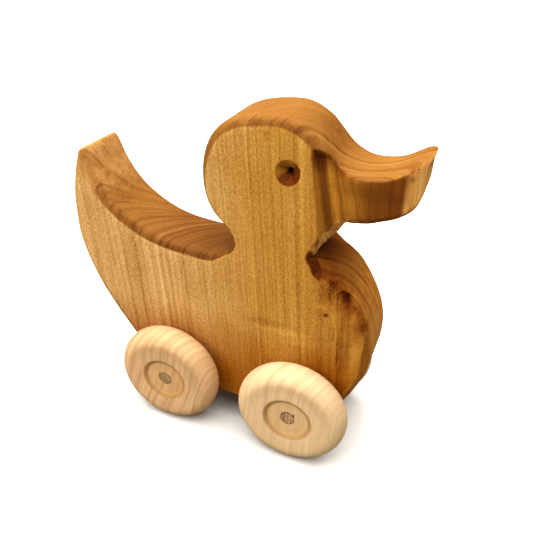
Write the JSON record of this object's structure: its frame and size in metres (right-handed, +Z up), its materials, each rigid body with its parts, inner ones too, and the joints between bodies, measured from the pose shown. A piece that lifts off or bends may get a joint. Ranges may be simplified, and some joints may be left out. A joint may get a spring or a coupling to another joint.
{
  "type": "duck push toy",
  "caption": "Thick wooden duck cut from a plank, rolling on turned wooden wheels fixed to dowel axles.",
  "frame": {"origin": "on the floor, under the middle of the toy's overall length and on its centre plane", "axes": "+X points forwards the way the beak points, +Y to the duck's left, +Z up"},
  "size_m": [0.151, 0.0624, 0.153],
  "materials": {
    "body_wood": "light oil, satin",
    "dowel_wood": "bare, satin",
    "wheel_wood": "bare, satin"
  },
  "bodies": {
    "duck": {"duck_body": "body_wood"},
    "front_wheelset": {"front_axle": "dowel_wood", "front_wheel_right": "wheel_wood", "front_wheel_left": "wheel_wood"},
    "rear_wheelset": {"rear_axle": "dowel_wood", "rear_wheel_right": "wheel_wood", "rear_wheel_left": "wheel_wood"}
  },
  "joints": [
    {"name": "front_axle_spin", "type": "hinge", "parent": "duck", "child": "front_wheelset", "pos_m": [0.03927, 0, 0.0254], "axis": [0, 1, 0], "continuous": true},
    {"name": "rear_axle_spin", "type": "hinge", "parent": "duck", "child": "rear_wheelset", "pos_m": [-0.02293, 0, 0.0254], "axis": [0, 1, 0], "continuous": true}
  ]
}
